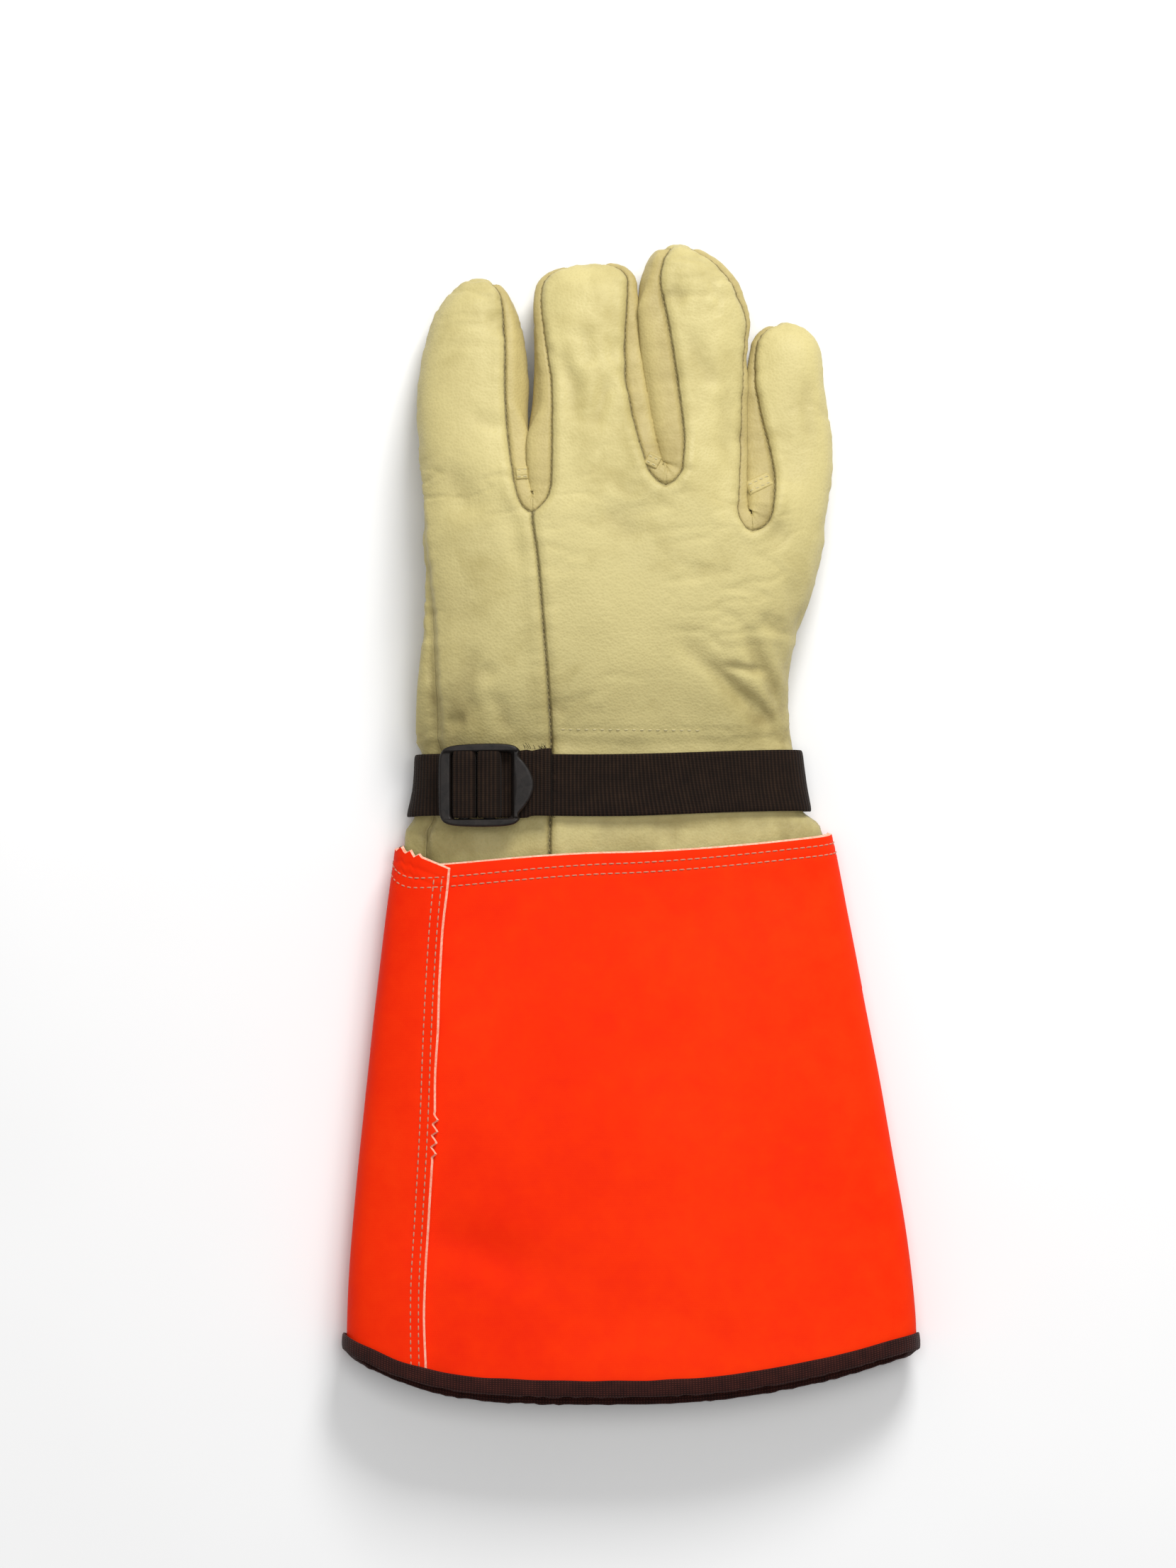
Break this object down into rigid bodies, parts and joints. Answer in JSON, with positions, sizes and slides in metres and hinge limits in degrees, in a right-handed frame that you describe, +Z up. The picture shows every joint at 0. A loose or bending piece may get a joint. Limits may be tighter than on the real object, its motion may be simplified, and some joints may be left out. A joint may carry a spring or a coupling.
{
  "type": "leather protector glove",
  "caption": "Right-hand leather protector glove lying palm down, with a flared bound gauntlet cuff and a webbing wrist strap in a ladder-lock buckle.",
  "frame": {"origin": "on the surface the glove lies on, below the middle of its length and width", "axes": "+Y from the hem to the fingertips, +Z up from the surface, +X towards the little finger"},
  "size_m": [0.1909, 0.381, 0.038],
  "materials": {
    "leather": "matt cream grain leather",
    "strip_leather": "matt cream grain leather, slightly darker",
    "coated_fabric": "satin orange coated fabric",
    "binding_tape": "matt dark brown woven tape",
    "webbing": "matt near-black woven webbing",
    "buckle_plastic": "satin black moulded plastic"
  },
  "bodies": {
    "root": {"palm_panel": "leather", "index_back_panel": "leather", "back_panel": "leather", "thumb": "leather", "fourchette_index_inner": "strip_leather", "fourchette_middle_outer": "strip_leather", "fourchette_middle_inner": "strip_leather", "fourchette_ring_outer": "strip_leather", "fourchette_ring_inner": "strip_leather", "fourchette_little_outer": "strip_leather", "gauntlet_cuff": "coated_fabric", "hem_binding": "binding_tape", "wrist_strap": "webbing", "strap_buckle": "buckle_plastic"}
  },
  "joints": []
}
